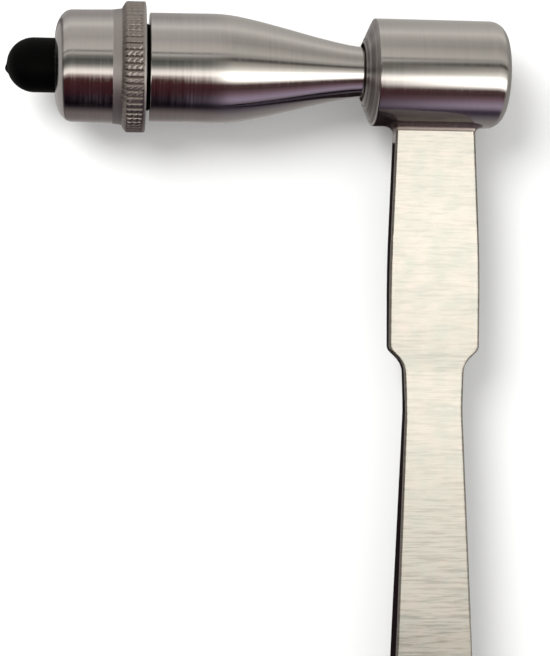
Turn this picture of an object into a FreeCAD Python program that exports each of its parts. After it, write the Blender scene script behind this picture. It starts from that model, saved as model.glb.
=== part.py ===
import FreeCAD, Part
import math
import os

# Reflex hammer lying flat: head along X with its striking tip at -X, handle along -Y, +Z up.
# Every shape is made about the point where the head's axis crosses the handle's centre line,
# and save() moves it to the frame, whose origin is under the middle of the whole hammer.
# The thread is modelled as rings one pitch apart, in a plain bore that clears their crests.

# Driving dimensions, mm
running_gap = 0.05

tip_r = 4.8
tip_end_x = -76.25
tip_flange_r = 6.4
tip_flange_length = 2.0
nub_r = 0.45
nub_height = 0.3
nub_drop = 0.7

cap_front_x = -67.8
cap_wall = 1.85
cap_front_r = 9.8
cap_back_r = 9.95
cap_crown_length = 2.9
cap_crown_centre_r = 5.0
cap_neck_x = -57.95
cap_neck_radius = 2.2
flange_r = 11.5
flange_left_x = -56.4
flange_right_x = -51.95
flange_slope_length = 1.05
flange_slope_foot_r = 10.25
flange_edge = 0.35

thread_r = 8.0
thread_depth = 0.6
thread_pitch = 1.0
thread_turns = 10
thread_lead_in = 0.2
ring_foot = 0.10
ring_crest = 0.42
thread_relief_r = 7.0
seal_width = 1.7
seal_edge = 0.3

body_face_x = -51.25
body_r = 9.58
body_chamfer = 0.22
taper_start = (-38.5, 9.64)
taper_points = [(-34.0, 9.0), (-28.3, 7.71), (-21.2, 5.94), (-16.0, 4.84)]
neck_end = (-13.4, 4.5)
neck_chamfer = 0.25
neck_spigot_r = 3.6

stud_r = 3.0
stud_thread_depth = 0.45
stud_plain_ends = 0.4
stud_left_x = -20.5
stud_right_x = -4.6
stud_bore_clearance = 0.03
stud_bore_spare = 0.4

hub_r = 9.6
hub_rim_x = -11.2
hub_cone_x = -13.2
hub_recess_r = 5.15
hub_recess_floor_x = -12.0
hub_end_x = 12.65
hub_rim_edge = 0.25
hub_end_edge = 3.0

# Corners of the handle's outline, from the hub down: half width, distance along it, corner radius.
handle_half_width = 8.2
handle_end_y = -168.0
handle_root_half_width = 7.0
blade_corner = (handle_half_width, -35.0, 220.0)
shoulder_corner = (handle_half_width, -49.6, 1.6)
neck_corner = (5.5, -52.2, 4.0)
waist_corner = (5.2, -60.5, 50.0)
grip_corner = (handle_half_width, -138.0, 150.0)
end_corner = (handle_half_width, handle_end_y, 5.5)
# Corners of its side outline: half thickness, distance along it, corner radius.
root_half_thickness = 2.0
thinning_corner = (root_half_thickness, -30.0, 80.0)
thinnest_corner = (1.45, -54.0, 60.0)
swelling_corner = (3.2, -99.0, 150.0)
handle_edge = 0.45
tang_half_width = 5.0
tang_half_thickness = 1.5
tang_top_y = -5.0
braze_radius = 1.5

frame_shift = FreeCAD.Vector(
    -(tip_end_x - nub_height + hub_end_x) / 2,
    -(handle_end_y + flange_r) / 2,
    flange_r)


def point(pair):
    return FreeCAD.Vector(pair[0], pair[1], 0)


def straight(start, end):
    return Part.LineSegment(start, end).toShape()


def rounded_edges(corners, closed=True):
    # Edges round the corners (x, y, radius); a corner without a radius stays sharp.
    ends = []
    count = len(corners)
    for index, corner in enumerate(corners):
        here = point(corner)
        radius = corner[2] if len(corner) > 2 else 0
        if radius == 0:
            ends.append((here, None, here))
            continue
        to_last = (point(corners[index - 1]) - here).normalize()
        to_next = (point(corners[(index + 1) % count]) - here).normalize()
        half_angle = to_last.getAngle(to_next) / 2
        reach = radius / math.tan(half_angle)
        middle = (to_last + to_next).normalize() * (radius / math.sin(half_angle) - radius)
        ends.append((here + to_last * reach, here + middle, here + to_next * reach))
    edges = []
    for index, (start, middle, end) in enumerate(ends):
        if middle is not None:
            edges.append(Part.Arc(start, middle, end).toShape())
        if index + 1 < count or closed:
            following = ends[(index + 1) % count][0]
            edges.append(straight(end, following))
    return edges


def turned(edges):
    # Solid turned about the head's axis from edges drawn as (distance along X, radius).
    face = Part.Face(Part.Wire(edges))
    return face.revolve(FreeCAD.Vector(0, 0, 0), FreeCAD.Vector(1, 0, 0), 360)


def thread_rings(start_x, turns, pitch, crest_r, depth):
    # Corners of a row of thread rings, from left to right; foot and crest are parts of a pitch.
    corners = []
    for turn in range(turns):
        left = start_x + turn * pitch
        corners.append((left + ring_foot * pitch, crest_r - depth))
        corners.append((left + ring_crest * pitch, crest_r))
        corners.append((left + (1 - ring_crest) * pitch, crest_r))
        corners.append((left + (1 - ring_foot) * pitch, crest_r - depth))
    return corners


def save(name, shape):
    placed = shape.copy()
    placed.translate(frame_shift)
    placed.exportStep("parts/" + name + ".step")
    print(name, "valid" if placed.isValid() else "INVALID", len(placed.Solids), round(placed.Volume, 2))


def rubber_tip():
    # Domed plug with a flange at its foot, which the cap's front wall holds in.
    flange_front_x = cap_front_x + cap_wall
    flange_back_x = flange_front_x + tip_flange_length
    dome_x = tip_end_x + tip_r
    dome_middle = (dome_x - tip_r * math.cos(math.pi / 4), tip_r * math.sin(math.pi / 4))
    outline = [
        Part.Arc(point((tip_end_x, 0)), point(dome_middle), point((dome_x, tip_r))).toShape(),
        straight(point((dome_x, tip_r)), point((flange_front_x, tip_r))),
        straight(point((flange_front_x, tip_r)), point((flange_front_x, tip_flange_r))),
        straight(point((flange_front_x, tip_flange_r)), point((flange_back_x, tip_flange_r))),
        straight(point((flange_back_x, tip_flange_r)), point((flange_back_x, 0))),
        straight(point((flange_back_x, 0)), point((tip_end_x, 0)))]
    nub_length = 1.5
    nub_start = FreeCAD.Vector(tip_end_x - nub_height, -nub_drop, 0)
    nub = Part.makeCylinder(nub_r, nub_length, nub_start, FreeCAD.Vector(1, 0, 0))
    return turned(outline).fuse(nub).removeSplitter()


def screw_cap():
    # Turned cap with a crowned front, a hole for the tip and a wide flange for the fingers.
    crown_x = cap_front_x + cap_crown_length
    crown = Part.Ellipse(
        point((crown_x, cap_front_r)),
        point((cap_front_x, cap_crown_centre_r)),
        point((crown_x, cap_crown_centre_r)))
    hole_r = tip_r + running_gap
    pocket_r = tip_flange_r + running_gap
    bore_r = thread_r + running_gap
    pocket_front_x = cap_front_x + cap_wall
    pocket_back_x = pocket_front_x + tip_flange_length
    slope_top_x = flange_left_x + flange_slope_length
    barrel = rounded_edges([
        (crown_x, cap_front_r),
        (cap_neck_x, cap_back_r, cap_neck_radius),
        (flange_left_x, flange_slope_foot_r, cap_neck_radius / 2),
        (slope_top_x, flange_r, flange_edge),
        (flange_right_x, flange_r, flange_edge),
        (flange_right_x, bore_r),
        (pocket_back_x, bore_r),
        (pocket_back_x, pocket_r),
        (pocket_front_x, pocket_r),
        (pocket_front_x, hole_r),
        (cap_front_x, hole_r),
        (cap_front_x, cap_crown_centre_r)], closed=False)
    return turned([crown.toShape(0, math.pi / 2)] + barrel)


def seal_ring():
    # Black ring in the thread relief, against the head's face.
    left_x = body_face_x - seal_width
    return turned(rounded_edges([
        (left_x, thread_relief_r),
        (left_x, thread_r, seal_edge),
        (body_face_x, thread_r, seal_edge),
        (body_face_x, thread_relief_r)]))


def head_body():
    # Turned horn: threaded spigot, full barrel, long taper and a spigot into the hub.
    spigot_end_x = cap_front_x + cap_wall + tip_flange_length
    core_r = thread_r - thread_depth
    stud_bore_r = stud_r + stud_bore_clearance
    stud_bore_end_x = stud_left_x - stud_bore_spare
    taper = Part.BSplineCurve()
    taper.interpolate(
        Points=[point(pair) for pair in [taper_start] + taper_points + [neck_end]],
        InitialTangent=FreeCAD.Vector(1, 0, 0),
        FinalTangent=FreeCAD.Vector(1, -0.08, 0))
    thread_start_x = spigot_end_x + thread_lead_in
    thread_end_x = thread_start_x + thread_turns * thread_pitch
    left_side = rounded_edges(
        [(spigot_end_x, 0), (spigot_end_x, core_r)]
        + thread_rings(thread_start_x, thread_turns, thread_pitch, thread_r, thread_depth)
        + [(thread_end_x, core_r),
           (thread_end_x + thread_lead_in, thread_relief_r),
           (body_face_x, thread_relief_r),
           (body_face_x, body_r - body_chamfer),
           (body_face_x + body_chamfer, body_r),
           taper_start], closed=False)
    shoulder_x = neck_end[0] + neck_chamfer
    right_side = rounded_edges([
        neck_end,
        (shoulder_x, neck_end[1] - neck_chamfer),
        (shoulder_x, neck_spigot_r),
        (hub_recess_floor_x, neck_spigot_r),
        (hub_recess_floor_x, stud_bore_r),
        (stud_bore_end_x, stud_bore_r),
        (stud_bore_end_x, 0),
        (spigot_end_x, 0)], closed=False)
    return turned(left_side + [taper.toShape()] + right_side)


def neck_stud():
    # Headless stud that screws the head and the hub together.
    root_r = stud_r - stud_thread_depth
    turns = int((stud_right_x - stud_left_x - stud_plain_ends) / thread_pitch)
    first_x = (stud_left_x + stud_right_x - turns * thread_pitch) / 2
    return turned(rounded_edges(
        [(stud_left_x, 0), (stud_left_x, root_r)]
        + thread_rings(first_x, turns, thread_pitch, stud_r, stud_thread_depth)
        + [(stud_right_x, root_r), (stud_right_x, 0)]))


def hub():
    # Short bar across the top of the handle, coned at the neck and rounded at its far end.
    stud_bore_r = stud_r + stud_bore_clearance
    stud_bore_end_x = stud_right_x + stud_bore_spare
    blank = turned(rounded_edges([
        (stud_bore_end_x, 0),
        (stud_bore_end_x, stud_bore_r),
        (hub_recess_floor_x, stud_bore_r),
        (hub_recess_floor_x, hub_recess_r),
        (hub_cone_x, hub_recess_r),
        (hub_rim_x, hub_r, hub_rim_edge),
        (hub_end_x, hub_r, hub_end_edge),
        (hub_end_x, 0)]))
    return blank.cut(tang())


def tang():
    # Tongue on top of the handle, let into the hub.
    below_hub = 2.0
    return Part.makeBox(
        2 * tang_half_width, hub_r + below_hub + tang_top_y, 2 * tang_half_thickness,
        FreeCAD.Vector(-tang_half_width, -hub_r - below_hub, -tang_half_thickness))


def handle_bar():
    # Flat bar: wide blade, S-shaped shoulders, thin waist, and a grip that widens and thickens to its end.
    half_outline = [
        (handle_root_half_width, tang_top_y),
        blade_corner, shoulder_corner, neck_corner, waist_corner, grip_corner, end_corner]
    mirrored = [(-corner[0],) + corner[1:] for corner in reversed(half_outline)]
    plate = Part.Face(Part.Wire(rounded_edges(half_outline + mirrored)))
    slab_half = 2 * swelling_corner[0]
    plate.translate(FreeCAD.Vector(0, 0, -slab_half))
    slab = plate.extrude(FreeCAD.Vector(0, 0, 2 * slab_half))
    # The side outline is turned upright and extruded along X.
    spare = 1.0
    side = [
        (root_half_thickness, tang_top_y),
        thinning_corner, thinnest_corner, swelling_corner,
        (swelling_corner[0], handle_end_y - spare)]
    side_mirrored = [(-corner[0],) + corner[1:] for corner in reversed(side)]
    side_face = Part.Face(Part.Wire(rounded_edges(side + side_mirrored)))
    side_face.rotate(FreeCAD.Vector(0, 0, 0), FreeCAD.Vector(0, 1, 0), -90)
    side_face.translate(FreeCAD.Vector(-handle_half_width - spare, 0, 0))
    side_slab = side_face.extrude(FreeCAD.Vector(2 * (handle_half_width + spare), 0, 0))
    return slab.common(side_slab).removeSplitter()


def round_long_edges(bar):
    # Breaks every edge between a broad face and the rim, all the way round.
    broad_edges = []
    for edge in bar.Edges:
        middle = edge.valueAt((edge.FirstParameter + edge.LastParameter) / 2)
        runs_through = edge.BoundBox.ZLength > root_half_thickness
        on_top = middle.y > tang_top_y - 0.01
        if not runs_through and not on_top:
            broad_edges.append(edge)
    return bar.makeFillet(handle_edge, broad_edges)


def hub_cylinder():
    return Part.makeCylinder(
        hub_r, hub_end_x - hub_rim_x, FreeCAD.Vector(hub_rim_x, 0, 0), FreeCAD.Vector(1, 0, 0))


def handle(bar):
    # The bar ends in a saddle on the hub, and its tang goes on into it.
    return bar.cut(hub_cylinder()).fuse(tang()).removeSplitter()


def braze_fillet(bar):
    # Ring of brazing metal, ground hollow, between the hub and the foot of the handle.
    joined = hub_cylinder().fuse(bar.cut(hub_cylinder())).removeSplitter()
    seam = []
    for edge in joined.Edges:
        middle = edge.valueAt((edge.FirstParameter + edge.LastParameter) / 2)
        on_hub = abs(math.hypot(middle.y, middle.z) - hub_r) < 0.02
        within_handle = abs(middle.x) < handle_half_width and middle.y < 0
        if on_hub and within_handle:
            seam.append(edge)
    return joined.makeFillet(braze_radius, seam).cut(hub_cylinder()).cut(bar)


os.makedirs("parts", exist_ok=True)
bar = round_long_edges(handle_bar())
save("rubber_tip", rubber_tip())
save("screw_cap", screw_cap())
save("seal_ring", seal_ring())
save("head_body", head_body())
save("neck_stud", neck_stud())
save("hub", hub())
save("handle", handle(bar))
save("braze_fillet", braze_fillet(bar))
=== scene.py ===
import math
import bpy
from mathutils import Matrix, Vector


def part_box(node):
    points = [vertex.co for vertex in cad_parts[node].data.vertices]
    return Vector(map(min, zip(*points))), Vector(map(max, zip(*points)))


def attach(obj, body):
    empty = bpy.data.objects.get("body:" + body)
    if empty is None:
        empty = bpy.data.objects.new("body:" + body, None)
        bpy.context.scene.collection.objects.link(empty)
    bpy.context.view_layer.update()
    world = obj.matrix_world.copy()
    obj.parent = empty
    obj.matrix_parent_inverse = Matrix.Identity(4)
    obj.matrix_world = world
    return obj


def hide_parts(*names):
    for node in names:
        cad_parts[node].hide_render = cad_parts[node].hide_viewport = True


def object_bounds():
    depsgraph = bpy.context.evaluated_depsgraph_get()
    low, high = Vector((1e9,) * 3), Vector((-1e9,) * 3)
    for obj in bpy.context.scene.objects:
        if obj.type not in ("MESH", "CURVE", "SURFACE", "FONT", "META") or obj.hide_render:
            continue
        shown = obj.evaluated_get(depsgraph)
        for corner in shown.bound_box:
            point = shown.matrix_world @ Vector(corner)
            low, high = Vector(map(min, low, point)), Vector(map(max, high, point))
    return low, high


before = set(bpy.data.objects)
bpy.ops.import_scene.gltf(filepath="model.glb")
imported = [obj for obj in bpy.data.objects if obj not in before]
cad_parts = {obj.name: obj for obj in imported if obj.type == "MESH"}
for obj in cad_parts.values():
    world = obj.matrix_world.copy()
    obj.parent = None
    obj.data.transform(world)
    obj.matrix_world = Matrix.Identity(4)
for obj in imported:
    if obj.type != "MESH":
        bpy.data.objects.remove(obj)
cadLow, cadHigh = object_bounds()
print("frame loaded:", len(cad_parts), "CAD nodes")

hubLow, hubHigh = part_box("hub")
handleLow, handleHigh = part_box("handle")
axisY = (hubLow.y + hubHigh.y) / 2  # the head's axis runs along X through here
axisZ = (hubLow.z + hubHigh.z) / 2
hubReach = 12.65  # mm from the handle's centre line to the hub's round end
centreX = hubHigh.x - hubReach / 1000


def placeX(mm):
    return centreX + mm / 1000  # a distance along the head, from the handle's centre line


def linear(hexColour):
    values = [int(hexColour[i:i + 2], 16) / 255 for i in (1, 3, 5)]
    return [v / 12.92 if v <= 0.04045 else ((v + 0.055) / 1.055) ** 2.4 for v in values] + [1.0]


def addNode(tree, kind, settings=None, inputs=None):
    node = tree.nodes.new(kind)
    for name, value in (settings or {}).items():
        setattr(node, name, value)
    for name, value in (inputs or {}).items():
        if isinstance(value, bpy.types.NodeSocket):
            tree.links.new(value, node.inputs[name])
        else:
            node.inputs[name].default_value = value
    return node


def newMaterial(name):
    material = bpy.data.materials.new(name)
    material.use_nodes = True
    tree = material.node_tree
    tree.nodes.clear()
    output = addNode(tree, "ShaderNodeOutputMaterial")
    return material, tree, output


def stretchedNoise(tree, scale, detail=3.0, roughness=0.6):
    # Noise on Object coordinates with its own scale per metre along X, Y and Z.
    coordinates = addNode(tree, "ShaderNodeTexCoord")
    mapping = addNode(tree, "ShaderNodeMapping", {}, {"Vector": coordinates.outputs["Object"], "Scale": scale})
    noise = addNode(tree, "ShaderNodeTexNoise", {}, {
        "Vector": mapping.outputs["Vector"], "Scale": 1.0, "Detail": detail, "Roughness": roughness})
    return noise.outputs["Fac"]


def remap(tree, value, low, high, fromLow=0.3, fromHigh=0.7):
    node = addNode(tree, "ShaderNodeMapRange", {}, {
        "Value": value, "From Min": fromLow, "From Max": fromHigh, "To Min": low, "To Max": high})
    return node.outputs["Result"]


# Pitches, lengths and heights in mm. Real polishing lines are finer: these are as coarse as it takes to show.
turnedLook = {
    "colour": "#C7C5C2", "roughLow": 0.04, "roughHigh": 0.22, "anisotropy": 0.85,
    "linePitch": 0.38, "arcLength": 12.0, "lineHeight": 0.0011, "darkest": 0.93}
unpolishedLook = {  # hollows and rims that the polishing cloth missed: dull and even
    "colour": "#BDB9B7", "roughLow": 0.5, "roughHigh": 0.64, "anisotropy": 0.3,
    "linePitch": 0.3, "arcLength": 9.0, "lineHeight": 0.004, "darkest": 0.86}
facedRingShadeLook = {  # the hub's cone, left as the facing tool cut it: strong dark and light rings from the tool, the dark ones painted shade
    "colour": "#C2BEBB", "roughLow": 0.18, "roughHigh": 0.34, "anisotropy": 0.5,
    "linePitch": 0.32, "arcLength": 60.0, "lineHeight": 0.02, "darkest": 0.3}
brazeAndJointShadeLook = {  # silver brazing filler, ground hollow, with no direction: its colour, a little darker than the steel, is partly painted shade in the joint between hub and handle
    "colour": "#9A908B", "roughLow": 0.26, "roughHigh": 0.4, "anisotropy": 0.1,
    "linePitch": 0.5, "arcLength": 1.5, "lineHeight": 0.008, "darkest": 0.7}
knurlLook = {  # rolled teeth: grey and evenly dull, with no direction
    "colour": "#A69F9A", "roughLow": 0.26, "roughHigh": 0.42, "anisotropy": 0.1,
    "linePitch": 0.35, "arcLength": 0.35, "lineHeight": 0.02, "darkest": 0.85}


def turnedSteel(name, look):
    # Stainless steel, turned and satin polished: fine rings round the axis that smear light along it.
    material, tree, output = newMaterial(name)
    across = 1000 / look["linePitch"]
    along = 1000 / look["arcLength"]
    rings = stretchedNoise(tree, (across, along, along), 4.0, 0.65)
    patches = stretchedNoise(tree, (90, 90, 90), 2.0, 0.5)
    shades = addNode(tree, "ShaderNodeMixRGB", {"blend_type": "MULTIPLY"}, {
        "Fac": 1.0, "Color1": linear(look["colour"]), "Color2": remap(tree, rings, look["darkest"], 1.0)})
    rough = addNode(tree, "ShaderNodeMath", {"operation": "ADD"}, {
        0: remap(tree, rings, look["roughLow"], look["roughHigh"]),
        1: remap(tree, patches, -0.02, 0.03)})
    tangent = addNode(tree, "ShaderNodeTangent", {"direction_type": "RADIAL", "axis": "X"})
    bump = addNode(tree, "ShaderNodeBump", {}, {
        "Strength": 0.5, "Distance": look["lineHeight"] / 1000, "Height": rings})
    shader = addNode(tree, "ShaderNodeBsdfPrincipled", {}, {
        "Base Color": shades.outputs["Color"], "Metallic": 1.0, "Roughness": rough.outputs[0],
        "Anisotropic": look["anisotropy"], "Anisotropic Rotation": 0.25,
        "Tangent": tangent.outputs["Tangent"], "Normal": bump.outputs["Normal"]})
    tree.links.new(shader.outputs["BSDF"], output.inputs["Surface"])
    return material


groundLook = {  # broad faces: dull along the bar and clearer across it
    "colour": "#999289", "otherColour": "#93938A", "roughLow": 0.3, "roughHigh": 0.42, "anisotropy": 0.5,
    "linePitch": 0.42, "lineLength": 7.0, "lineHeight": 0.003, "darkest": 0.66, "cloudSize": 3.5}
edgeLook = {  # long edges, ground finer: they mirror what lies beside the hammer
    "colour": "#A39F9B", "otherColour": "#A39F9B", "roughLow": 0.1, "roughHigh": 0.16, "anisotropy": 0.5,
    "linePitch": 0.62, "lineLength": 4.5, "lineHeight": 0.001, "darkest": 0.85, "cloudSize": 5.0}


def groundSteel(name, look):
    # Stainless steel, surface ground across the bar: straight scratches along X that spread light down the bar.
    material, tree, output = newMaterial(name)
    across = 1000 / look["linePitch"]
    along = 1000 / look["lineLength"]
    lines = stretchedNoise(tree, (along, across, along * 4), 5.0, 0.7)
    cloud = 1000 / look["cloudSize"]
    patches = stretchedNoise(tree, (cloud, cloud, cloud), 4.0, 0.65)
    clouds = addNode(tree, "ShaderNodeMixRGB", {}, {
        "Fac": remap(tree, patches, 0.0, 1.0),
        "Color1": linear(look["colour"]), "Color2": linear(look["otherColour"])})
    shades = addNode(tree, "ShaderNodeMixRGB", {"blend_type": "MULTIPLY"}, {
        "Fac": 1.0, "Color1": clouds.outputs["Color"],
        "Color2": remap(tree, lines, look["darkest"], 1.0, 0.38, 0.56)})
    rough = addNode(tree, "ShaderNodeMath", {"operation": "ADD"}, {
        0: remap(tree, lines, look["roughLow"], look["roughHigh"]),
        1: remap(tree, patches, -0.01, 0.015)})
    tangent = addNode(tree, "ShaderNodeTangent", {"direction_type": "UV_MAP", "uv_map": "alongBar"})
    bump = addNode(tree, "ShaderNodeBump", {}, {
        "Strength": 0.5, "Distance": look["lineHeight"] / 1000, "Height": lines})
    shader = addNode(tree, "ShaderNodeBsdfPrincipled", {}, {
        "Base Color": shades.outputs["Color"], "Metallic": 1.0, "Roughness": rough.outputs[0],
        "Anisotropic": look["anisotropy"],
        "Tangent": tangent.outputs["Tangent"], "Normal": bump.outputs["Normal"]})
    tree.links.new(shader.outputs["BSDF"], output.inputs["Surface"])
    return material


def mouldedRubber(name, colour, roughness):
    # Black nitrile rubber from a mould: soft broad highlights and a faint pebble.
    material, tree, output = newMaterial(name)
    pebble = stretchedNoise(tree, (4000, 4000, 4000), 2.0, 0.5)
    bump = addNode(tree, "ShaderNodeBump", {}, {
        "Strength": 0.35, "Distance": 0.00002, "Height": pebble})
    shader = addNode(tree, "ShaderNodeBsdfPrincipled", {}, {
        "Base Color": linear(colour),
        "Roughness": remap(tree, pebble, roughness - 0.06, roughness + 0.08),
        "Specular IOR Level": 0.05, "Normal": bump.outputs["Normal"]})
    tree.links.new(shader.outputs["BSDF"], output.inputs["Surface"])
    return material


turnedMaterial = turnedSteel("turned_satin_stainless_steel", turnedLook)
unpolishedMaterial = turnedSteel("turned_unpolished_stainless_steel", unpolishedLook)
knurlMaterial = turnedSteel("knurled_stainless_steel", knurlLook)
brazeAndJointShadeMaterial = turnedSteel("braze_filler_and_painted_joint_shade", brazeAndJointShadeLook)
facedRingShadeMaterial = turnedSteel("faced_steel_with_painted_ring_shade", facedRingShadeLook)
groundMaterial = groundSteel("surface_ground_stainless_steel", groundLook)
edgeMaterial = groundSteel("edge_ground_stainless_steel", edgeLook)
tipMaterial = mouldedRubber("moulded_black_nitrile_rubber", "#020202", 0.5)
sealMaterial = mouldedRubber("moulded_black_seal_rubber", "#030303", 0.6)
print("materials made")


def enterEdit(piece):
    bpy.ops.object.select_all(action="DESELECT")
    piece.select_set(True)
    bpy.context.view_layer.objects.active = piece
    bpy.ops.object.mode_set(mode="EDIT")


def drawnProfile(name, corners):
    # One vertex, extruded from corner to corner (distance along X, radius) in the plane above the axis.
    bpy.ops.object.select_all(action="DESELECT")
    first = Vector((placeX(corners[0][0]), axisY, axisZ + corners[0][1] / 1000))
    bpy.ops.mesh.primitive_plane_add(size=0.0001, location=first)
    piece = bpy.context.object
    piece.name = name
    piece.data.name = name
    enterEdit(piece)
    bpy.ops.mesh.merge(type="CENTER")
    last = corners[0]
    for corner in corners[1:]:
        step = ((corner[0] - last[0]) / 1000, 0, (corner[1] - last[1]) / 1000)
        bpy.ops.mesh.extrude_region_move(TRANSFORM_OT_translate={"value": step})
        last = corner
    bpy.ops.object.mode_set(mode="OBJECT")
    bpy.ops.object.transform_apply(location=True, rotation=True, scale=True)
    return piece


def roundCorners(piece, corners, segments=4):
    # Bevels each profile corner that has a third value, its radius in mm.
    for before, corner, after in zip(corners[-1:] + corners[:-1], corners, corners[1:] + corners[:1]):
        if len(corner) < 3:
            continue
        arriving = Vector(corner[:2]) - Vector(before[:2])
        leaving = Vector(after[:2]) - Vector(corner[:2])
        cutBack = corner[2] * math.tan(arriving.angle(leaving) / 2)
        enterEdit(piece)
        bpy.ops.mesh.select_mode(type="VERT")
        bpy.ops.mesh.select_all(action="DESELECT")
        bpy.ops.object.mode_set(mode="OBJECT")
        place = Vector((placeX(corner[0]), axisY, axisZ + corner[1] / 1000))
        for vertex in piece.data.vertices:
            vertex.select = (vertex.co - place).length < 1e-6
        bpy.ops.object.mode_set(mode="EDIT")
        bpy.ops.mesh.bevel(offset=cutBack / 1000, segments=segments, affect="VERTICES")
        bpy.ops.object.mode_set(mode="OBJECT")


def spinProfile(piece, steps):
    enterEdit(piece)
    bpy.ops.mesh.select_all(action="SELECT")
    bpy.ops.mesh.spin(steps=steps, angle=2 * math.pi, center=(0, axisY, axisZ), axis=(1, 0, 0))
    bpy.ops.mesh.select_all(action="SELECT")
    bpy.ops.mesh.remove_doubles(threshold=2e-6)
    bpy.ops.mesh.normals_make_consistent(inside=False)
    bpy.ops.object.mode_set(mode="OBJECT")


def smooth(piece, degrees=35):
    bpy.ops.object.select_all(action="DESELECT")
    piece.select_set(True)
    bpy.context.view_layer.objects.active = piece
    bpy.ops.object.shade_smooth_by_angle(angle=math.radians(degrees))


def turnedPiece(name, corners, steps, loop=False):
    outline = corners + [corners[0]] if loop else corners
    piece = drawnProfile(name, outline)
    roundCorners(piece, corners)
    spinProfile(piece, steps)
    smooth(piece)
    return piece


def faceMaterial(piece, material, leftX, rightX, leastRadius):
    # Gives the outside faces of a ring between two places along the axis a material of their own.
    piece.data.materials.append(material)
    for face in piece.data.polygons:
        radius = math.hypot(face.center.y - axisY, face.center.z - axisZ)
        if placeX(leftX) < face.center.x < placeX(rightX) and radius > leastRadius / 1000:
            face.material_index = len(piece.data.materials) - 1


def dressPiece(piece, material, body, node):
    if not piece.data.materials:
        piece.data.materials.append(material)
    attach(piece, body)
    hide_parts(node)


def smoothRun(points, count):
    # Catmull-Rom curve through a few (distance, radius) points.
    ends = [points[0]] + points + [points[-1]]
    run = []
    for i in range(1, len(ends) - 2):
        p0, p1, p2, p3 = ends[i - 1:i + 3]
        for k in range(count):
            t = k / count
            run.append(tuple(
                0.5 * (2 * b + (c - a) * t + (2 * a - 5 * b + 4 * c - d) * t * t
                       + (3 * b - a - 3 * c + d) * t ** 3)
                for a, b, c, d in zip(p0, p1, p2, p3)))
    run.append(points[-1])
    return run


tipSize = {"radius": 4.8, "end": -76.25, "flangeFront": -65.95, "flangeBack": -63.95, "flangeRadius": 6.4,
           "nubEnd": -76.55, "nubDrop": 0.7, "nubSpread": 1.1}


def makeRubberTip(size):
    domeX = size["end"] + size["radius"]
    turns = 40
    dome = [(domeX - size["radius"] * math.cos(a), size["radius"] * math.sin(a))
            for a in [i / turns * math.pi / 2 for i in range(turns + 1)]]
    corners = dome + [
        (size["flangeFront"], size["radius"]),
        (size["flangeFront"], size["flangeRadius"], 0.2),
        (size["flangeBack"], size["flangeRadius"], 0.2),
        (size["flangeBack"], 0)]
    piece = turnedPiece("rubberTip", corners, 96)
    # The nub left by the mould's gate: the nearest patch of the dome, drawn out.
    nubCentre = Vector((placeX(size["nubEnd"]), axisY - size["nubDrop"] / 1000, axisZ))
    enterEdit(piece)
    bpy.ops.mesh.select_mode(type="VERT")
    bpy.ops.mesh.select_all(action="DESELECT")
    bpy.ops.object.mode_set(mode="OBJECT")
    reach = size["nubSpread"] / 1000
    for vertex in piece.data.vertices:
        offset = vertex.co - nubCentre
        spread = math.hypot(offset.y, offset.z)
        if spread < reach and vertex.co.x < placeX(size["end"] + 1):
            lift = math.cos(spread / reach * math.pi / 2) ** 2
            vertex.co.x += (nubCentre.x - vertex.co.x) * lift
    smooth(piece)
    dressPiece(piece, tipMaterial, "tip", "rubber_tip")


bodySize = {
    "spigotEnd": -63.95, "threadTurns": 10, "core": 7.4, "crest": 8.0,
    "relief": 7.0, "reliefLeft": -53.55, "face": -51.25, "radius": 9.58, "chamfer": 0.22,
    "taper": [(-44.0, 9.64), (-38.5, 9.64), (-34.0, 9.0), (-28.3, 7.71), (-21.2, 5.94), (-16.0, 4.84),
              (-13.4, 4.5)],
    "neckFace": -13.15, "neckFaceRadius": 4.25, "pilotEnd": -12.0, "pilotRadius": 3.6,
    "studHole": 3.03, "studHoleEnd": -20.9}


def makeHeadBody(size):
    corners = [(size["spigotEnd"], 0), (size["spigotEnd"], size["core"], 0.2)]
    for turn in range(size["threadTurns"]):  # one ring for each turn of the 1 mm thread
        left = size["spigotEnd"] + 0.2 + turn
        corners += [(left + 0.10, size["core"]), (left + 0.42, size["crest"]),
                    (left + 0.58, size["crest"]), (left + 0.90, size["core"])]
    corners += [(size["reliefLeft"] - 0.2, size["core"]), (size["reliefLeft"], size["relief"]),
                (size["face"], size["relief"]), (size["face"], size["radius"], size["chamfer"])]
    corners += smoothRun(size["taper"], 6)
    corners += [(size["neckFace"], size["neckFaceRadius"]), (size["neckFace"], size["pilotRadius"]),
                (size["pilotEnd"], size["pilotRadius"]), (size["pilotEnd"], size["studHole"]),
                (size["studHoleEnd"], size["studHole"]), (size["studHoleEnd"], 0)]
    piece = turnedPiece("headBody", corners, 160)
    dressPiece(piece, turnedMaterial, "hammer", "head_body")


hubSize = {
    "length": hubReach, "radius": 9.6, "endEdge": 3.0, "coneFront": -13.2, "coneRim": -11.2, "coneStart": 5.15,
    "recessRadius": 5.2, "recessFloor": -12.0, "boreEnd": -4.2, "boreRadius": 3.03,
    "lip": (0.1, 5.45), "innerEdge": 0.55, "rimEdge": 0.22,
    "rings": 9, "ringDepth": 0.12, "firstRing": 6.05, "plainRim": 0.35, "ringShare": 0.7}


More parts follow.
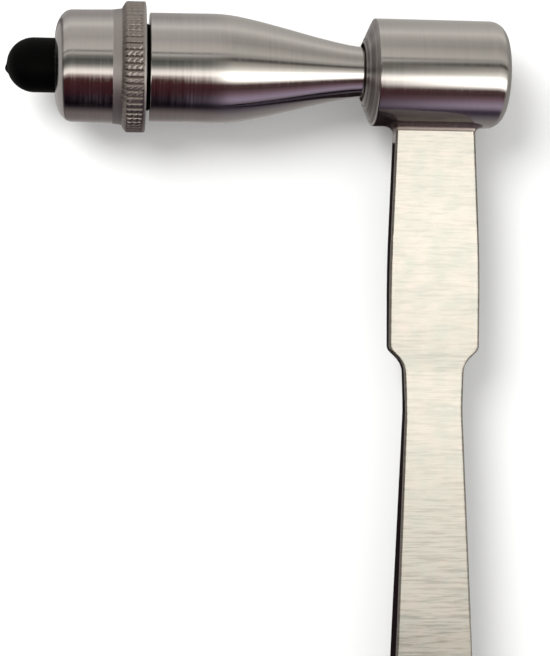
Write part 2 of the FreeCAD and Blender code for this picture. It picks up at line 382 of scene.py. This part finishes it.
def makeHub(size):
    # The conical face keeps the marks of the turning tool as fine rings.
    slope = (size["coneRim"] - size["coneFront"]) / (size["radius"] - size["coneStart"])
    start, end = size["firstRing"], size["radius"] - size["plainRim"]
    lipX = size["coneFront"] + size["lip"][0]
    face = [(lipX, size["lip"][1]), (size["coneFront"] + size["innerEdge"], start - 0.05)]
    for ring in range(size["rings"]):
        inner = start + (end - start) * ring / size["rings"]
        outer = start + (end - start) * (ring + size["ringShare"]) / size["rings"]
        face.append((size["coneFront"] + (inner - size["coneStart"]) * slope, inner))
        face.append((size["coneFront"] + (outer - size["coneStart"]) * slope + size["ringDepth"], outer))
    corners = [(size["boreEnd"], 0), (size["boreEnd"], size["boreRadius"]),
               (size["recessFloor"], size["boreRadius"]), (size["recessFloor"], size["recessRadius"]),
               (lipX, size["recessRadius"])]
    corners += face
    corners += [(size["coneRim"], size["radius"], size["rimEdge"]),
                (size["length"], size["radius"], size["endEdge"]), (size["length"], 0)]
    piece = drawnProfile("hub", corners)
    roundCorners(piece, corners, 8)
    spinProfile(piece, 160)
    smooth(piece, 20)
    piece.data.materials.append(turnedMaterial)
    # The cone keeps its tool-mark rings, with painted shade in their dark rings.
    faceMaterial(piece, facedRingShadeMaterial, size["coneFront"], size["coneRim"], size["coneStart"] - 0.15)
    dressPiece(piece, turnedMaterial, "hammer", "hub")


sealSize = {"left": -52.95, "right": -51.25, "inner": 7.0, "outer": 7.6, "edge": 0.25}


def makeSealRing(size):
    corners = [(size["left"], size["inner"]), (size["left"], size["outer"], size["edge"]),
               (size["right"], size["outer"], size["edge"]), (size["right"], size["inner"])]
    piece = turnedPiece("sealRing", corners, 96, loop=True)
    dressPiece(piece, sealMaterial, "hammer", "seal_ring")


knurl = {
    "teeth": 60, "group": 5, "segments": 10, "rows": 34, "grooveDepth": 0.3, "cutDepth": 0.24,
    "left": -56.15, "right": -52.35, "footRadius": 10.2, "radius": 11.5, "slopeLength": 1.05,
    "cutPitch": 0.98}
capSize = {
    "front": -67.8, "crownBack": -64.9, "crownCentre": 5.0, "barrelFront": 9.8, "barrelBack": 9.95,
    "filletStart": -57.95, "filletRadius": 8.0, "filletFoot": (-0.35, -0.06, 1.0),
    "dullStart": -57.75, "dullRim": -51.6, "flangeRight": -51.95, "flangeEdge": 0.3, "boreEdge": 0.1,
    "bore": 8.05, "boreFloor": -63.95, "pocket": 6.45, "pocketFloor": -65.95, "tipHole": 4.85}


def flangeRadius(x, size):
    # The flange's own outline under the knurl: a rounded slope up from the barrel, then a cylinder.
    t = min(1, max(0, (x - size["left"]) / size["slopeLength"]))
    return size["footRadius"] + (size["radius"] - size["footRadius"]) * math.sin(t * math.pi / 2)


def knurlRadius(tooth, x, size):
    # Straight teeth along the axis, crossed by shallower slanting cuts that fade in and out round the rim.
    u = tooth % 1
    w = (x - size["left"]) / (size["right"] - size["left"])
    ridge = min(1, 1.8 * (1 - abs(2 * u - 1)))
    groove = 1 - math.sin(ridge * math.pi / 2)
    slant = (tooth + (x - size["left"]) / size["cutPitch"]) % 1
    cut = max(0, 1 - 2.2 * (1 - abs(2 * slant - 1)))
    strength = 0.65 + 0.35 * math.sin(2 * math.pi * tooth / size["group"] + 2.1 * w)
    fade = min(1, w * 20, (1 - w) * 9)
    depth = max(size["grooveDepth"] * groove, size["cutDepth"] * cut * strength)
    return flangeRadius(x, size) - depth * fade


def makeCapShell(cap, rim):
    crown = [(cap["crownBack"] + (cap["front"] - cap["crownBack"]) * math.cos(a),
              cap["crownCentre"] + (cap["barrelFront"] - cap["crownCentre"]) * math.sin(a))
             for a in [i / 12 * math.pi / 2 for i in range(13)]]
    corners = [(rim["right"], rim["radius"]), (cap["flangeRight"], rim["radius"], cap["flangeEdge"]),
               (cap["flangeRight"], cap["bore"], cap["boreEdge"]), (cap["boreFloor"], cap["bore"]),
               (cap["boreFloor"], cap["pocket"]), (cap["pocketFloor"], cap["pocket"]),
               (cap["pocketFloor"], cap["tipHole"]), (cap["front"], cap["tipHole"])]
    corners += crown
    footX, footRadius, footBend = cap["filletFoot"]
    corners += [(cap["filletStart"], cap["barrelBack"], cap["filletRadius"]),
                (rim["left"] + footX, rim["footRadius"] + footRadius, footBend),
                (rim["left"], rim["footRadius"])]
    piece = drawnProfile("screwCap", corners)
    roundCorners(piece, corners, 5)
    spinProfile(piece, rim["teeth"] * rim["segments"])
    piece.data.materials.append(turnedMaterial)
    # The hollow before the flange, and the plain rim beside the knurl.
    faceMaterial(piece, unpolishedMaterial, cap["dullStart"], rim["left"], cap["barrelFront"])
    faceMaterial(piece, unpolishedMaterial, rim["right"], cap["dullRim"], rim["radius"] - 1)
    return piece


def makeKnurlTeeth(size):
    # A few teeth side by side on one grid, then copied round the rim by spin.
    bpy.ops.object.select_all(action="DESELECT")
    bpy.ops.mesh.primitive_grid_add(
        x_subdivisions=size["rows"], y_subdivisions=size["segments"] * size["group"], size=1)
    teeth = bpy.context.object
    teeth.name = "knurlTeeth"
    pitchAngle = 2 * math.pi / size["teeth"]
    for vertex in teeth.data.vertices:
        tooth = (vertex.co.y + 0.5) * size["group"]
        x = size["left"] + (size["right"] - size["left"]) * (vertex.co.x + 0.5)
        radius = knurlRadius(round(tooth, 4), x, size) / 1000
        angle = tooth * pitchAngle
        vertex.co = (placeX(x), axisY - radius * math.sin(angle), axisZ + radius * math.cos(angle))
    copies = size["teeth"] // size["group"]
    enterEdit(teeth)
    bpy.ops.mesh.select_all(action="SELECT")
    bpy.ops.mesh.spin(steps=copies - 1, dupli=True, angle=2 * math.pi * (copies - 1) / copies,
                      center=(0, axisY, axisZ), axis=(1, 0, 0))
    bpy.ops.object.mode_set(mode="OBJECT")
    teeth.data.materials.append(knurlMaterial)
    return teeth


def makeScrewCap(cap, rim):
    piece = makeCapShell(cap, rim)
    teeth = makeKnurlTeeth(rim)
    bpy.ops.object.select_all(action="DESELECT")
    teeth.select_set(True)
    piece.select_set(True)
    bpy.context.view_layer.objects.active = piece
    bpy.ops.object.join()
    enterEdit(piece)
    bpy.ops.mesh.select_all(action="SELECT")
    bpy.ops.mesh.remove_doubles(threshold=3e-6)
    bpy.ops.mesh.normals_make_consistent(inside=False)
    bpy.ops.object.mode_set(mode="OBJECT")
    smooth(piece, 40)
    dressPiece(piece, turnedMaterial, "cap", "screw_cap")


def copyOfNode(node, name, degrees):
    # The CAD shape itself, welded so that its curved faces can be smooth.
    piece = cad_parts[node].copy()
    piece.data = piece.data.copy()
    piece.name = name
    piece.data.name = name
    for key in list(piece.keys()):
        del piece[key]
    piece.parent = None
    bpy.context.scene.collection.objects.link(piece)
    enterEdit(piece)
    bpy.ops.mesh.select_all(action="SELECT")
    bpy.ops.mesh.remove_doubles(threshold=1e-6)
    bpy.ops.object.mode_set(mode="OBJECT")
    bpy.ops.object.select_all(action="DESELECT")
    piece.select_set(True)
    bpy.context.view_layer.objects.active = piece
    if piece.data.has_custom_normals:
        bpy.ops.mesh.customdata_custom_splitnormals_clear()
    smooth(piece, degrees)
    return piece


handleFinish = {"smoothDegrees": 20, "flatWeight": 100, "edgeFacing": 0.8}


def makeHandle(finish):
    piece = copyOfNode("handle", "handleBar", finish["smoothDegrees"])
    bpy.ops.object.modifier_add(type="WEIGHTED_NORMAL")  # keeps the flats flat beside their long blends
    weighted = piece.modifiers[-1]
    weighted.weight = finish["flatWeight"]
    weighted.keep_sharp = True
    bpy.ops.object.modifier_apply(modifier=weighted.name)
    layer = piece.data.uv_layers.new(name="alongBar")
    for loop in piece.data.loops:
        place = piece.data.vertices[loop.vertex_index].co
        layer.data[loop.index].uv = (place.y * 10, (place.x + place.z) * 10)
    piece.data.materials.clear()
    piece.data.materials.append(groundMaterial)
    piece.data.materials.append(edgeMaterial)
    for face in piece.data.polygons:  # the two long edges were ground finer than the broad faces
        face.material_index = 1 if abs(face.normal.x) > finish["edgeFacing"] else 0
    dressPiece(piece, groundMaterial, "hammer", "handle")
    return piece


def makeBraze():
    # The filler's darker colour is partly painted shade in the joint between hub and handle.
    piece = copyOfNode("braze_fillet", "brazeFillet", 40)
    piece.data.materials.clear()
    dressPiece(piece, brazeAndJointShadeMaterial, "hammer", "braze_fillet")


makeRubberTip(tipSize)
makeScrewCap(capSize, knurl)
makeSealRing(sealSize)
makeHeadBody(bodySize)
makeHub(hubSize)
handlePiece = makeHandle(handleFinish)
makeBraze()
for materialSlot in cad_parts["neck_stud"].material_slots:
    materialSlot.material = turnedMaterial
print("pieces made")


studio = {
    "floorSize": 6.0, "floorColour": "#F2F2F1", "backdrop": "#F4F4F3", "ambient": 0.82, "surroundings": 1.78,
    "keyPower": 3.0, "keySize": 0.36, "keyDirection": (-7.5, 5.0, 11.5), "keyDistance": 0.6,
    "glowPower": 0.45, "glowSize": 0.16, "glowTarget": -0.028, "glowOffset": (0.067, 0.025, 0.35)}


def makeFloor(look):
    bpy.ops.object.select_all(action="DESELECT")
    bpy.ops.mesh.primitive_plane_add(size=look["floorSize"], location=(0, 0, cadLow.z))
    floor = bpy.context.object
    floor.name = "floor"
    material, tree, output = newMaterial("matt_white_table")
    side = addNode(tree, "ShaderNodeNewGeometry")
    diffuse = addNode(tree, "ShaderNodeBsdfDiffuse", {}, {"Color": linear(look["floorColour"])})
    clear = addNode(tree, "ShaderNodeBsdfTransparent")
    mix = addNode(tree, "ShaderNodeMixShader", {}, {
        0: side.outputs["Backfacing"], 1: diffuse.outputs[0], 2: clear.outputs[0]})
    tree.links.new(mix.outputs[0], output.inputs["Surface"])
    floor.data.materials.append(material)
    floor.visible_glossy = False  # the steel mirrors the room's bands instead, down to the table


# A dark sheet seen only in reflections: painted shade mirrored in the handle's edge.
shadeFlagSize = {"left": -12.5, "width": 8.5, "gapBelowHub": 1.5, "height": 0.6, "colour": "#241C1E"}  # mm


def makeShadeFlag(size):
    # A black strip on the table beside the handle that only the steel sees, to darken the handle's edge: a
    # painted reflection of the shade beside the handle.
    width = size["width"] / 1000
    top = hubLow.y - size["gapBelowHub"] / 1000
    bpy.ops.object.select_all(action="DESELECT")
    middle = Vector((placeX(size["left"]) + width / 2, (handleLow.y + top) / 2, size["height"] / 1000))
    bpy.ops.mesh.primitive_plane_add(size=1, location=middle)
    flag = bpy.context.object
    flag.name = "paintedShadeFlag"
    flag.scale = (width, top - handleLow.y, 1)
    material, tree, output = newMaterial("painted_shade_black")
    shadeSheet = addNode(tree, "ShaderNodeBsdfDiffuse", {}, {"Color": linear(size["colour"])})
    tree.links.new(shadeSheet.outputs[0], output.inputs["Surface"])
    flag.data.materials.append(material)
    flag.visible_camera = False
    flag.visible_diffuse = False
    flag.visible_shadow = False


# The room, as the lean that a steel face needs to mirror it upwards: degrees towards the far side, colour.
roomLeft = [
    (-90, "#827E7C"), (-72, "#686261"), (-60, "#625A59"), (-54, "#463F40"), (-50, "#1C171B"),
    (-46, "#080409"), (-38, "#150B12"), (-32, "#2C1218"), (-21, "#3A1B1E"), (-17, "#402826"),
    (-14, "#8E7F7C"), (-11, "#F0E8E2"), (-8, "#DDD6D0"), (-5, "#9A9692"), (-2, "#5E5E5A"), (2, "#484845"),
    (6, "#6E6C68"), (9, "#A8A4A0"), (11, "#6E6B67"), (13, "#ACA7A3"), (18, "#A8A39E"),
    (26, "#989390"), (36, "#A29D99"), (43, "#B9B5B1"), (50, "#A3A09D"), (58, "#8C8886"), (90, "#7E7B7A")]
roomRight = [
    (-90, "#9C9997"), (-74, "#7E7A79"), (-62, "#716B6C"), (-55, "#564F55"), (-50, "#352E39"),
    (-46, "#3A333F"), (-42, "#776A7B"), (-39, "#887B8C"), (-36, "#817183"), (-31, "#66525A"),
    (-26, "#3F2E31"), (-21, "#473534"), (-17, "#EDE6E0"), (-15, "#FFFDF8"), (-8, "#FFFDF8"),
    (-4, "#D6D2CA"), (0, "#A39F99"), (3, "#86827C"), (5, "#504C49"), (7, "#504C49"),
    (9, "#878480"), (14, "#A6A29C"), (18, "#9E9A94"), (25, "#8B8782"), (32, "#938F8A"),
    (43, "#B8B4AF"), (52, "#A6A39E"), (62, "#9A9793"), (90, "#8E8B88")]


# Where each part of the room starts and ends: degrees of lean for the card, sideways lean for the rest.
room = {
    "rightShare": (0.0, 0.16), "cardBottom": (-19, -15.5), "cardTop": (-9, -5), "cardGlare": (0.02, 0.12),
    "cardColour": "#FFFDF8", "wallStart": (0.6, 0.74), "seamStart": (-0.58, -0.64), "seamDark": 0.8,
    "tableStart": (-0.68, -0.74), "rightWall": "#7C7976", "leftSeam": "#3A3434", "leftTable": "#918E8C"}


def roomRamp(tree, stops, share):
    ramp = addNode(tree, "ShaderNodeValToRGB", {}, {"Fac": share})
    marks = ramp.color_ramp.elements
    marks[0].position, marks[0].color = 0.0, linear(stops[0][1])
    marks[1].position, marks[1].color = 1.0, linear(stops[-1][1])
    for degrees, colour in stops[1:-1]:
        marks.new(degrees / 180 + 0.5).color = linear(colour)
    return ramp.outputs["Color"]


def makeWorld(look, parts):
    world = bpy.data.worlds.new("studio")
    bpy.context.scene.world = world
    world.use_nodes = True
    tree = world.node_tree
    tree.nodes.clear()
    output = addNode(tree, "ShaderNodeOutputWorld")
    coordinates = addNode(tree, "ShaderNodeTexCoord")
    raised = addNode(tree, "ShaderNodeVectorMath", {"operation": "ADD"}, {
        0: coordinates.outputs["Generated"], 1: (0, 0, 1)})
    lean = addNode(tree, "ShaderNodeVectorMath", {"operation": "NORMALIZE"}, {0: raised.outputs["Vector"]})
    axes = addNode(tree, "ShaderNodeSeparateXYZ", {}, {"Vector": lean.outputs["Vector"]})
    sideways = axes.outputs["X"]
    angle = addNode(tree, "ShaderNodeMath", {"operation": "ARCTAN2"}, {
        0: axes.outputs["Y"], 1: axes.outputs["Z"]})
    share = remap(tree, angle.outputs[0], 0.0, 1.0, -math.pi / 2, math.pi / 2)
    bands = addNode(tree, "ShaderNodeMixRGB", {}, {
        "Fac": remap(tree, sideways, 0.0, 1.0, *parts["rightShare"]),
        "Color1": roomRamp(tree, roomLeft, share), "Color2": roomRamp(tree, roomRight, share)})
    cardBottom = remap(tree, angle.outputs[0], 0.0, 1.0, *[math.radians(a) for a in parts["cardBottom"]])
    cardTop = remap(tree, angle.outputs[0], 1.0, 0.0, *[math.radians(a) for a in parts["cardTop"]])
    cardHeight = addNode(tree, "ShaderNodeMath", {"operation": "MULTIPLY"}, {0: cardBottom, 1: cardTop})
    cardGlare = addNode(tree, "ShaderNodeMath", {"operation": "MULTIPLY"}, {
        0: cardHeight.outputs[0], 1: remap(tree, sideways, 0.0, 0.6, *parts["cardGlare"])})
    lit = addNode(tree, "ShaderNodeMixRGB", {"blend_type": "ADD"}, {
        "Fac": cardGlare.outputs[0], "Color1": bands.outputs["Color"],
        "Color2": linear(parts["cardColour"])})
    rightWall = addNode(tree, "ShaderNodeMixRGB", {}, {
        "Fac": remap(tree, sideways, 0.0, 1.0, *parts["wallStart"]), "Color1": lit.outputs["Color"],
        "Color2": linear(parts["rightWall"])})
    leftSeam = addNode(tree, "ShaderNodeMixRGB", {}, {
        "Fac": remap(tree, sideways, 0.0, parts["seamDark"], *parts["seamStart"]),
        "Color1": rightWall.outputs["Color"], "Color2": linear(parts["leftSeam"])})
    leftTable = addNode(tree, "ShaderNodeMixRGB", {}, {
        "Fac": remap(tree, sideways, 0.0, 1.0, *parts["tableStart"]),
        "Color1": leftSeam.outputs["Color"], "Color2": linear(parts["leftTable"])})
    mirrored = addNode(tree, "ShaderNodeBackground", {}, {
        "Color": leftTable.outputs["Color"], "Strength": look["surroundings"]})
    plain = addNode(tree, "ShaderNodeBackground", {}, {
        "Color": linear("#FFFFFF"), "Strength": look["ambient"]})
    seen = addNode(tree, "ShaderNodeBackground", {}, {"Color": linear(look["backdrop"]), "Strength": 1.0})
    path = addNode(tree, "ShaderNodeLightPath")
    first = addNode(tree, "ShaderNodeMixShader", {}, {
        0: path.outputs["Is Glossy Ray"], 1: plain.outputs[0], 2: mirrored.outputs[0]})
    second = addNode(tree, "ShaderNodeMixShader", {}, {
        0: path.outputs["Is Camera Ray"], 1: first.outputs[0], 2: seen.outputs[0]})
    tree.links.new(second.outputs[0], output.inputs["Surface"])


def areaLight(name, place, target, size, power):
    data = bpy.data.lights.new(name, "AREA")
    data.shape = "DISK"
    data.size = size
    data.energy = power
    light = bpy.data.objects.new(name, data)
    bpy.context.scene.collection.objects.link(light)
    light.location = place
    light.rotation_euler = (place - target).to_track_quat("Z", "Y").to_euler()
    return light


def makeLights(look, handle):
    # Soft key from the upper left, whose shadow falls to the lower right.
    target = Vector((centreX, axisY, axisZ))
    keyPlace = target + Vector(look["keyDirection"]).normalized() * look["keyDistance"]
    key = areaLight("keyLight", keyPlace, target, look["keySize"], look["keyPower"])
    key.visible_glossy = False
    # A soft glow on the ground face of the blade, dying away down the grip.
    blade = Vector((centreX, axisY + look["glowTarget"], handleHigh.z))
    glowPlace = blade + Vector(look["glowOffset"])
    glow = areaLight("bladeGlow", glowPlace, blade, look["glowSize"], look["glowPower"])
    lit = bpy.data.collections.new("bladeGlowReceivers")
    lit.objects.link(handle)
    glow.light_linking.receiver_collection = lit


view = {"offset": (-60.175, -50.2, 311.7), "turn": (0.729, -5.854, 0.380), "lens": 96.5}  # mm, degrees, mm


def makeCamera(look):
    data = bpy.data.cameras.new("camera")
    data.lens = look["lens"]
    data.sensor_width = 36
    data.clip_start = 0.01
    camera = bpy.data.objects.new("camera", data)
    bpy.context.scene.collection.objects.link(camera)
    hubCentre = (hubLow + hubHigh) / 2
    camera.location = hubCentre + Vector(look["offset"]) / 1000
    camera.rotation_euler = [math.radians(a) for a in look["turn"]]
    bpy.context.scene.camera = camera


makeFloor(studio)
makeShadeFlag(shadeFlagSize)
makeWorld(studio, room)
makeLights(studio, handlePiece)
makeCamera(view)
bpy.context.scene.view_settings.view_transform = "Standard"
print("studio made")
